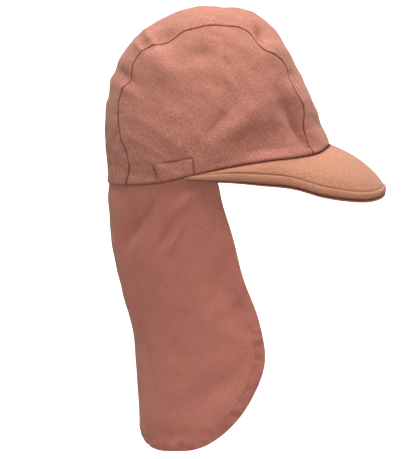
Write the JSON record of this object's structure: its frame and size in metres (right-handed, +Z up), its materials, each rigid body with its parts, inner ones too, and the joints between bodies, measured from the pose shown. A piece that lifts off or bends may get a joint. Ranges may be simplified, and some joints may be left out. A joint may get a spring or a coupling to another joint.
{
  "type": "legionnaire cap",
  "caption": "Soft cotton sun cap for a small child: panelled crown, padded peak, elastic casing at the nape and a long flap that shades the neck.",
  "frame": {"origin": "middle of the head opening, where the cap sits on a head, midway from brow to nape and between the temples", "axes": "+X forward over the peak, +Y to the wearer's left, +Z up to the crown's top"},
  "size_m": [0.2309, 0.1506, 0.3601],
  "materials": {
    "crown_cloth": "matte plain-weave cotton, muted terracotta pink",
    "peak_cloth": "matte plain-weave cotton over soft padding, topstitched",
    "flap_cloth": "matte plain-weave cotton, single layer with a stitched hem",
    "casing_cloth": "matte cotton facing, gathered over elastic",
    "thread": "matte sewing thread, slightly darker than the cloth"
  },
  "bodies": {
    "root": {"crown_centre_strip": "crown_cloth", "crown_side_right": "crown_cloth", "crown_side_left": "crown_cloth", "elastic_casing": "casing_cloth", "peak_upper": "peak_cloth", "peak_lower": "peak_cloth", "neck_flap": "flap_cloth"}
  },
  "joints": []
}
